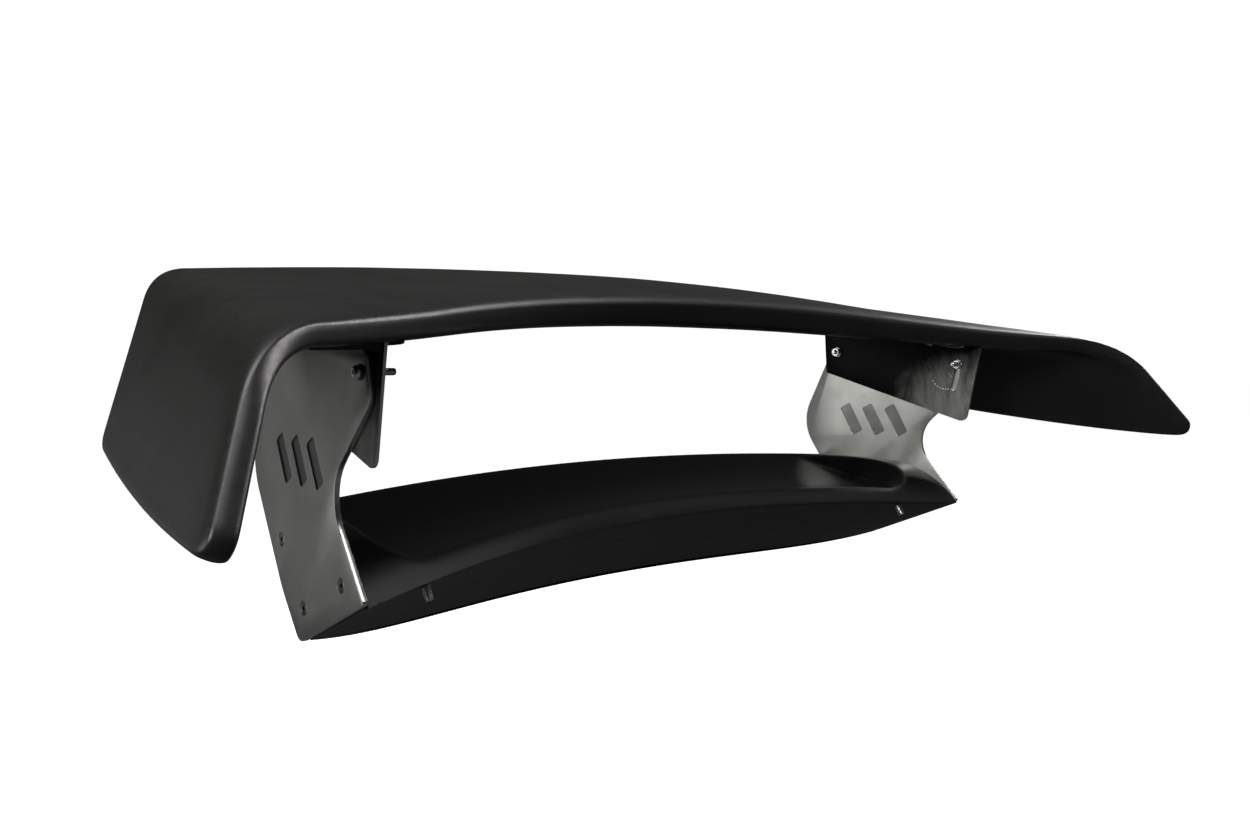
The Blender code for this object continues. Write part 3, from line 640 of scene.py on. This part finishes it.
def in_blade(share, point, margin=0.0003):
    return ORIGIN + Vector((share * plate_x(point.x, PLATE + margin), point.x, point.y))


def blade_section(share):
    """Outer section: up over the dish, round the lip and down the rear wall."""
    steps = [(i / BLADE_STEPS) ** 1.5 for i in range(BLADE_STEPS + 1)]
    points = [blade_top(share, step) for step in steps]
    tip = points[-1]
    edge = tip + Vector((0.0045, -0.0045))
    for turn in (30.0, 60.0):
        angle = math.radians(turn)
        points.append(tip + Vector((0.0045 * math.sin(angle), -0.0045 * (1.0 - math.cos(angle)))))
    foot = falling(BLADE_FOOT, share, FOOT_POWER)
    return points + [mixed(edge, foot, step / 12) for step in range(13)]


def inset(points, depth):
    moved = []
    last = len(points) - 1
    for index, point in enumerate(points):
        before = (point - points[max(index - 1, 0)]).normalized()
        after = (points[min(index + 1, last)] - point).normalized()
        along = (before + after).normalized()
        moved.append(point + Vector((along.y, -along.x)) * depth)
    return moved


def under_line(share):
    front, foot = falling(BLADE_FRONT, share), falling(BLADE_FOOT, share, FOOT_POWER)
    along = (foot - front).normalized()
    return front, along, Vector((-along.y, along.x)), (foot - front).length


def build_blade():
    outer, inner, top, low = [], [], [], []
    for row in range(BLADE_ROWS + 1):
        share = math.sin((row / BLADE_ROWS * 2.0 - 1.0) * math.pi / 2.0)
        section = blade_section(share)
        inside = inset(section, BLADE_SKIN)
        front, along, up, length = under_line(share)
        inside[0] = front + along * (UNDER_FRONT - 0.0008)
        ragged = 0.0012 * noise.noise(Vector((share * 60.0, 3.0, 0.0))) * abs(share) ** 4
        section[0] = section[0] + along * ragged
        outer.append([in_blade(share, point) for point in section])
        inner.append([in_blade(share, point) for point in inside])
        spots = [UNDER_FRONT + (length - UNDER_REAR - UNDER_FRONT) * i / 10 for i in range(11)]
        top.append([in_blade(share, front + along * s + up * BLADE_SKIN) for s in spots])
        low.append([in_blade(share, front + along * s) for s in spots])
    finish = blade_finish("blade_gelcoat")
    piece(
        "blade_top", shell_of(outer, inner), [finish], "base", angle=38.0,
        stands_for=("blade_top_skin",),
    )
    piece(
        "blade_under", shell_of(top, low), [UNDER_BLACK], "base", angle=38.0,
        stands_for=("blade_under_skin",),
    )


# Uprights -------------------------------------------------------------------

UPRIGHT_OUTLINE = (
    (-0.0085, 0.1925, 0.006),
    (-0.0160, 0.1540, 0.020),
    (0.0642, 0.0795, 0.040),
    (-0.0003, -0.0005, 0.003),
    (0.1235, -0.0535, 0.012),
    (0.1600, -0.0120, 0.120),
    (0.2260, 0.0940, 0.057),
    (0.1720, 0.2130, 0.010),
    (0.1500, 0.2140, 0.030),
    (0.1050, 0.1930, 0.060),
)
MARK_BARS = (0.086, 0.118, 0.150)
MARK_HEIGHT = 0.101
MARK_SIZE = (0.0022, 0.016, 0.042)
MARK_SLANT = math.radians(-28.0)
MARK_DEPTH = 0.0011
MARK_CORNER = 0.0030
UPRIGHT_SCREWS = ((0.0392, 0.0088), (0.1132, -0.0220), (0.1591, 0.0301))
CLAMP_RADIUS = 0.1703
FIRST_HOLE = math.radians(5.4)
HOLE_STEP = math.radians(5.0)
M6 = 0.003
CSK = 0.006

# Room between bracket and inner washer, and how far each bolt reaches inwards.
CLAMP_SLACK = 0.0014
CLAMP_END = 0.029
PIVOT_SLACK = 0.0005
PIVOT_END = 0.020


def along_plate(y, depth=0.0):
    return (y + depth * math.sin(TOE)) / math.cos(TOE)


def from_hinge(radius, drop):
    return Vector((HINGE.y - radius * math.cos(drop), HINGE.z - radius * math.sin(drop)))


def plate_frame(side):
    """From a plate's own frame (outward, along, up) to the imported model's frame."""
    place = Matrix.Translation(ORIGIN + Vector((side * UPRIGHT_FRONT_X, 0.0, 0.0)))
    return place @ Matrix.Rotation(side * TOE, 4, "Z")


def facing_out(side, centre):
    """From a turned piece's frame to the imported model's: its Z points outwards."""
    spot = Matrix.Translation(Vector((0.0, *centre)))
    return plate_frame(side) @ spot @ Matrix.Rotation(side * math.pi / 2.0, 4, "Y")


def bolt_centre(point):
    return (along_plate(point.x, PLATE + BRACKET_GAP + BRACKET / 2.0), point.y)


def hole(side, centre, radius, low, high, steps=40):
    """A cutter along the outward direction of a plate."""
    made = prism_z(radius, low, high, steps)
    bmesh.ops.transform(
        made, verts=made.verts,
        matrix=Matrix.Translation(Vector((0.0, *centre)))
        @ Matrix.Rotation(side * math.pi / 2.0, 4, "Y"),
    )
    return made


def sink(side, centre):
    """A countersunk hole's cutter."""
    made = lathe(
        ((0.0, -0.010), (M6 + 0.0003, -0.010), (M6 + 0.0003, -0.0034),
         (CSK + 0.0003, -0.0004), (CSK + 0.0003, 0.004), (0.0, 0.004)), 40,
    )
    bmesh.ops.transform(
        made, verts=made.verts,
        matrix=Matrix.Translation(Vector((0.0, *centre)))
        @ Matrix.Rotation(side * math.pi / 2.0, 4, "Y"),
    )
    return made


def mark_bar(side, y, depth):
    """A cutter for a slanted bar with rounded corners, milled shallow into a face."""
    half, reach = MARK_SIZE[1] / 2.0, MARK_SIZE[2] / 2.0
    corners = ((-half, -reach), (half, -reach), (half, reach), (-half, reach))
    outline = filleted([(*corner, MARK_CORNER) for corner in corners], 5)
    made = slab(outline, -MARK_SIZE[0] / 2.0, MARK_SIZE[0] / 2.0)
    bmesh.ops.transform(
        made, verts=made.verts,
        matrix=Matrix.Translation(Vector((side * depth, along_plate(y), MARK_HEIGHT)))
        @ Matrix.Rotation(MARK_SLANT, 4, "X"),
    )
    return made


def build_upright(side, word):
    points = [Vector((along_plate(y), z)) for y, z in filleted(UPRIGHT_OUTLINE)]
    low, high = sorted((0.0, -side * PLATE))
    plate = carved(slab(points, low, high), [], bevel=0.0007, segments=2)
    cuts = []
    for point in (from_hinge(CLAMP_RADIUS, FIRST_HOLE), Vector((HINGE.y, HINGE.z))):
        cuts.append(("DIFFERENCE", hole(side, bolt_centre(point), M6 + 0.0003, -0.010, 0.005)))
    for y, z in UPRIGHT_SCREWS:
        cuts.append(("DIFFERENCE", sink(side, (along_plate(y), z))))
    for y in MARK_BARS:
        for depth in (0.0, -PLATE):
            cuts.append(("DIFFERENCE", mark_bar(side, y, depth)))
    made = piece(
        f"upright_plate_{word}", carved(plate, cuts), [BLASTED, MACHINED, POCKET], "base",
        plate_frame(side), 30.0, (f"upright_{word}",),
    )
    outward = plate_frame(side).to_3x3() @ Vector((side, 0.0, 0.0))
    start = plate_frame(side).translation
    for face in made.data.polygons:
        facing = abs(face.normal.dot(outward))
        depth = -(face.center - start).dot(outward)
        if facing < 0.92:
            face.material_index = 1
        elif min(abs(depth - MARK_DEPTH), abs(depth - PLATE + MARK_DEPTH)) < 0.0001:
            face.material_index = 2


# Fasteners ------------------------------------------------------------------


def hexagon(flats, low, high, turn=0.0):
    made = prism_z(flats / math.sqrt(3.0), low, high, 6)
    bmesh.ops.rotate(
        made, verts=made.verts, cent=(0.0, 0.0, 0.0), matrix=Matrix.Rotation(turn, 3, "Z")
    )
    return made


def socket_head(profile, flats, top, deep):
    """A turned head with a hexagon socket."""
    return carved(lathe(profile), [("DIFFERENCE", hexagon(flats, top - deep, top + 0.002))])


def merged(first, second):
    mesh = bpy.data.meshes.new("joined")
    second.to_mesh(mesh)
    second.free()
    first.from_mesh(mesh)
    bpy.data.meshes.remove(mesh)
    return first


def build_bolt(kind, word, side, point, slack, end):
    """Head, washers, nut and threaded shank on one line through the plates."""
    turn = facing_out(side, bolt_centre(point))
    inner = PLATE + BRACKET_GAP + BRACKET + slack
    seat = 0.0018
    top = seat + 0.004
    head = (
        (0.0, top), (0.0026, top), (0.0040, top - 0.0004), (0.0050, top - 0.0013),
        (0.0055, top - 0.0026), (0.0056, seat + 0.0004), (0.0053, seat), (0.0, seat),
    )
    bolt = merged(socket_head(head, 0.0040, top, 0.0022), threaded(M6 - 0.00002, -end, seat + 0.0002))
    piece(f"{kind}_bolt_body_{word}", bolt, [STEEL], "base", turn, 35.0, (f"{kind}_bolt_{word}",))
    for place, low in (("out", 0.0003), ("in", -inner - 0.0012)):
        high = low + 0.0012
        ring = lathe(
            ((0.0033, low), (0.0033, high), (0.0060, high), (0.0064, high - 0.0004),
             (0.0064, low + 0.0004), (0.0060, low)),
        )
        look = DARK_STEEL if place == "out" else STEEL
        piece(
            f"{kind}_washer_{place}_ring_{word}", ring, [look], "base", turn, 35.0,
            (f"{kind}_washer_{place}_{word}",),
        )
    high = -(inner + 0.0015)
    low = high - 0.005
    barrel = lathe(
        ((0.0, low), (0.0048, low), (0.0060, low + 0.0007), (0.0060, high - 0.0007),
         (0.0048, high), (0.0, high)),
    )
    steps = [
        ("INTERSECT", barrel),
        ("DIFFERENCE", prism_z(0.0033, low - 0.001, high + 0.001, 40)),
    ]
    nut = carved(hexagon(0.010, low, high, 0.3), steps)
    piece(f"{kind}_nut_body_{word}", nut, [STEEL], "base", turn, 25.0, (f"{kind}_nut_{word}",))


def build_screws(side, word):
    head = (
        (0.0, -0.0002), (0.0054, -0.0002), (0.0060, -0.0006), (0.0032, -0.0034),
        (0.0030, -0.0150), (0.0, -0.0150),
    )
    for number, (y, z) in enumerate(UPRIGHT_SCREWS, 1):
        piece(
            f"upright_screw_body_{word}_{number}", socket_head(head, 0.0040, -0.0002, 0.0024),
            [DARK_STEEL], "base", facing_out(side, (along_plate(y), z)), 35.0,
            (f"upright_screw_{word}_{number}",),
        )


def build_stud(word):
    """An M8 stud with its head inside the blade."""
    mount = next(m for m in frame["record"]["mounts"] if m["name"] == f"deck_stud_{word}")
    down = Vector(mount["axis"])
    turn = down.to_track_quat("-Z", "Y").to_matrix().to_4x4()
    turn = Matrix.Translation(Vector(mount["pos_m"])) @ turn
    body = threaded(0.00398, 0.0, 0.0165, 0.00125, 32)
    head = hexagon(0.0100, 0.0162, 0.0186)
    piece(f"deck_stud_body_{word}", merged(body, head), [STEEL], "base", turn, 35.0, (f"deck_stud_{word}",))


# Brackets -------------------------------------------------------------------

BRACKET_OUTLINE = (
    (-0.0300, 0.2040, 0.0),
    (-0.0115, 0.1010, 0.009),
    (0.1850, 0.1640, 0.003),
    (0.1900, 0.2000, 0.0),
)
SCALE_DOTS = (
    (0.0110, 0.1636), (0.0084, 0.1610), (0.0324, 0.1543), (0.0297, 0.1504), (0.0262, 0.1476),
    (0.0226, 0.1454), (0.0190, 0.1441), (0.0156, 0.1440), (0.0122, 0.1442),
)


def belly_tree(rings):
    """The wing's outside as a tree that rays can be cast at, in layout lengths."""
    corners, faces = [], []
    width = len(rings[0])
    for i, ring in enumerate(rings):
        corners += [point - ORIGIN for point in ring]
        if i:
            for j in range(width - 1):
                a = (i - 1) * width + j
                faces.append((a, a + 1, a + 1 + width, a + width))
    return BVHTree.FromPolygons(corners, faces)


def underside(belly, x, y):
    return belly.ray_cast(Vector((x, y, 0.0)), Vector((0.0, 0.0, 1.0)))[0].z


def build_bracket(side, word, belly):
    outer = PLATE + BRACKET_GAP
    lower = filleted(BRACKET_OUTLINE, 10)[1:-1]
    front, rear = BRACKET_OUTLINE[0][0], BRACKET_OUTLINE[-1][0]
    top = []
    for step in range(41):
        y = rear + (front - rear) * step / 40
        top.append(Vector((y, underside(belly, plate_x(y, outer + BRACKET / 2.0), y) - 0.0002)))
    rings = []
    for offset in (outer, outer + BRACKET):
        rings.append([ORIGIN + Vector((side * plate_x(y, offset), y, z)) for y, z in lower + top])
    web = carved(tube_of(rings), [], bevel=0.0004, segments=2)
    half = M6 + 0.0008
    outline = []
    for radius, order in ((CLAMP_RADIUS + half, 1), (CLAMP_RADIUS - half, -1)):
        outline += [from_hinge(radius, FIRST_HOLE + 2.0 * HOLE_STEP * s / 16) for s in range(17)[::order]]
    slot = slab(outline, *sorted((side * 0.40, side * 0.48)))
    bmesh.ops.translate(slot, verts=slot.verts, vec=ORIGIN)
    cuts = [("DIFFERENCE", slot)]
    spots = [(from_hinge(CLAMP_RADIUS, FIRST_HOLE + HOLE_STEP * s), half + 0.0004) for s in range(3)]
    spots.append((Vector((HINGE.y, HINGE.z)), M6 + 0.0006))
    for point, radius in spots:
        drill = prism_z(radius, 0.38, 0.48, 40)
        bmesh.ops.transform(
            drill, verts=drill.verts,
            matrix=Matrix.Translation(ORIGIN + Vector((0.0, *point)))
            @ Matrix.Rotation(side * math.pi / 2.0, 4, "Y"),
        )
        cuts.append(("DIFFERENCE", drill))
    # Centre of the painted light on the plate's lower front corner.
    corner = ORIGIN + Vector((side * plate_x(0.0, outer), 0.012, 0.116))
    finish = bracket_finish_and_painted_light(f"painted_light_plate_{word}", corner)
    made = piece(
        f"bracket_plate_{word}", carved(web, cuts), [finish, MACHINED], "wing", None, 30.0,
        (f"bracket_{word}",),
    )
    outward = plate_frame(side).to_3x3() @ Vector((side, 0.0, 0.0))
    for face in made.data.polygons:
        if abs(face.normal.dot(outward)) < 0.85:
            face.material_index = 1
    build_flange(side, word, belly, outer)
    build_scale(side, word)


def build_flange(side, word, belly, outer):
    """The flange under the lower skin, with a bend into the web."""
    upper, under = [], []
    width = 0.024
    for step in range(41):
        y = -0.018 + 0.206 * step / 40
        edge = plate_x(y, outer + BRACKET + 0.0002)
        over, below = [], []
        for share in [i / 8 for i in range(9)]:
            x = edge - (width - 0.003) * share
            z = underside(belly, x, y) - 0.0003
            bend = 0.003 * max(0.0, 1.0 - share * 6.0) ** 2
            over.append(ORIGIN + Vector((side * x, y, z)))
            below.append(ORIGIN + Vector((side * x, y, z - 0.0024 - bend)))
        upper.append(over)
        under.append(below)
    flange = carved(shell_of(upper, under), [], bevel=0.0003, segments=2, angle=50.0)
    piece(f"bracket_flange_{word}", flange, [FLANGE_METAL], "wing", None, 35.0)


def build_scale(side, word):
    """The small engraved dots beside the clamp positions."""
    dots = bmesh.new()
    for number, (y, z) in enumerate(SCALE_DOTS):
        size = 0.00085 if number > 1 else 0.00065
        dot = lathe(((0.0, 0.00016), (size * 0.8, 0.00014), (size, 0.0), (size, -0.0002), (0.0, -0.0002)), 16)
        x = plate_x(y, PLATE + BRACKET_GAP + BRACKET)
        turn = Matrix.Translation(ORIGIN + Vector((side * x, y, z)))
        turn = turn @ Matrix.Rotation(side * TOE, 4, "Z") @ Matrix.Rotation(-side * math.pi / 2.0, 4, "Y")
        bmesh.ops.transform(dot, verts=dot.verts, matrix=turn)
        dots = merged(dots, dot)
    piece(f"bracket_scale_{word}", dots, [PAINT_DOT], "wing", None, 35.0)


# Scene ----------------------------------------------------------------------

FLOOR_GLOW = 0.97
FLOOR_DROP = 0.45
BACKDROP = 1.05
CAMERA_PLACE = Vector((-0.93645, -0.75631, 0.18935))
CAMERA_YAW = math.radians(44.559)
CAMERA_PITCH = math.radians(-3.043)
CAMERA_LENS = 33.84


def finish_carried_nodes():
    """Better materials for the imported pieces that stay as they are."""
    for name, node in frame["nodes"].items():
        if name.startswith(("wing_spar", "end_rib")):
            look = CORE
        elif name.startswith("hard_point"):
            look = BLASTED
        elif name.startswith("flange_screw"):
            look = STEEL
        else:
            continue
        for entry in node.material_slots:
            entry.material = look


def build_floor():
    """A pale floor for the camera, left out of reflections and bounced light."""
    made = bmesh.new()
    bmesh.ops.create_grid(made, x_segments=1, y_segments=1, size=30.0)
    mesh = bpy.data.meshes.new("floor")
    made.to_mesh(mesh)
    made.free()
    floor = bpy.data.objects.new("floor", mesh)
    bpy.context.scene.collection.objects.link(floor)
    floor.location.z = CAD_BOX[0][2] - FLOOR_DROP
    look, _, surface = shader("pale_floor")
    surface.inputs["Base Color"].default_value = (0.9, 0.9, 0.9, 1.0)
    surface.inputs["Roughness"].default_value = 0.9
    surface.inputs["Emission Color"].default_value = (1.0, 1.0, 1.0, 1.0)
    surface.inputs["Emission Strength"].default_value = FLOOR_GLOW
    mesh.materials.append(look)
    floor.visible_glossy = False
    floor.visible_diffuse = False


def build_world():
    """White for the camera; a dim world lights the part, brightest from below."""
    world = bpy.data.worlds.new("studio")
    world.use_nodes = True
    bpy.context.scene.world = world
    tree = world.node_tree
    tree.nodes.clear()
    where = tree.nodes.new("ShaderNodeTexCoord")
    split = tree.nodes.new("ShaderNodeSeparateXYZ")
    tree.links.new(where.outputs["Generated"], split.inputs[0])
    level = ranged(tree, split.outputs["Z"], 0.0, 1.0, -1.0, 1.0)
    colour = ramp(
        tree, level,
        ((0.0, (0.085, 0.085, 0.090)), (0.45, (0.060, 0.060, 0.063)), (0.56, (0.030, 0.030, 0.030)),
         (0.80, (0.022, 0.022, 0.022)), (1.0, (0.05, 0.05, 0.05))),
    )
    dim = tree.nodes.new("ShaderNodeBackground")
    tree.links.new(colour, dim.inputs["Color"])
    white = tree.nodes.new("ShaderNodeBackground")
    white.inputs["Color"].default_value = (1.0, 1.0, 1.0, 1.0)
    white.inputs["Strength"].default_value = BACKDROP
    path = tree.nodes.new("ShaderNodeLightPath")
    mix = tree.nodes.new("ShaderNodeMixShader")
    tree.links.new(path.outputs["Is Camera Ray"], mix.inputs["Fac"])
    tree.links.new(dim.outputs["Background"], mix.inputs[1])
    tree.links.new(white.outputs["Background"], mix.inputs[2])
    out = tree.nodes.new("ShaderNodeOutputWorld")
    tree.links.new(mix.outputs["Shader"], out.inputs["Surface"])


def softbox(name, towards, distance, size, power, colour=(1.0, 1.0, 1.0), aim=(0.0, 0.0, 0.15)):
    """A rectangular lamp seen in the direction towards, facing aim."""
    data = bpy.data.lights.new(name, "AREA")
    data.shape = "RECTANGLE"
    data.size, data.size_y = size
    data.energy = power
    data.color = colour
    lamp = bpy.data.objects.new(name, data)
    bpy.context.scene.collection.objects.link(lamp)
    aim = Vector(aim)
    lamp.location = aim + Vector(towards).normalized() * distance
    lamp.rotation_euler = (aim - lamp.location).to_track_quat("-Z", "Y").to_euler()
    lamp.visible_camera = False


def build_lights():
    softbox("overhead", (-0.10, -0.15, 1.0), 2.8, (2.6, 2.0), 85.0)
    softbox("right_strip", (0.97, 0.04, 0.36), 2.6, (0.7, 1.0), 22.0, (1.0, 0.94, 0.95))
    softbox("front_strip", (-0.84, -0.30, 0.44), 2.6, (0.40, 0.9), 32.0)
    softbox("left_wall", (-0.96, 0.27, -0.02), 2.8, (2.0, 1.6), 20.0)
    softbox("rear_wall", (-0.25, 0.95, -0.08), 2.8, (2.2, 1.3), 1.3)


def build_camera():
    data = bpy.data.cameras.new("camera")
    data.sensor_width = 36.0
    data.lens = CAMERA_LENS
    data.clip_end = 100.0
    camera = bpy.data.objects.new("camera", data)
    bpy.context.scene.collection.objects.link(camera)
    camera.location = ORIGIN + CAMERA_PLACE
    level = math.cos(CAMERA_PITCH)
    ahead = Vector((math.cos(CAMERA_YAW) * level, math.sin(CAMERA_YAW) * level, math.sin(CAMERA_PITCH)))
    camera.rotation_euler = ahead.to_track_quat("-Z", "Y").to_euler()
    bpy.context.scene.camera = camera


bpy.context.scene.view_settings.view_transform = "Standard"
WING_RINGS = build_wing()
BELLY = belly_tree(WING_RINGS)
build_blade()
for SIDE, WORD in SIDES:
    build_upright(SIDE, WORD)
    build_bracket(SIDE, WORD, BELLY)
    build_bolt("clamp", WORD, SIDE, from_hinge(CLAMP_RADIUS, FIRST_HOLE), CLAMP_SLACK, CLAMP_END)
    build_bolt("pivot", WORD, SIDE, Vector((HINGE.y, HINGE.z)), PIVOT_SLACK, PIVOT_END)
    build_screws(SIDE, WORD)
    build_stud(WORD)
finish_carried_nodes()
build_floor()
build_world()
build_lights()
build_camera()
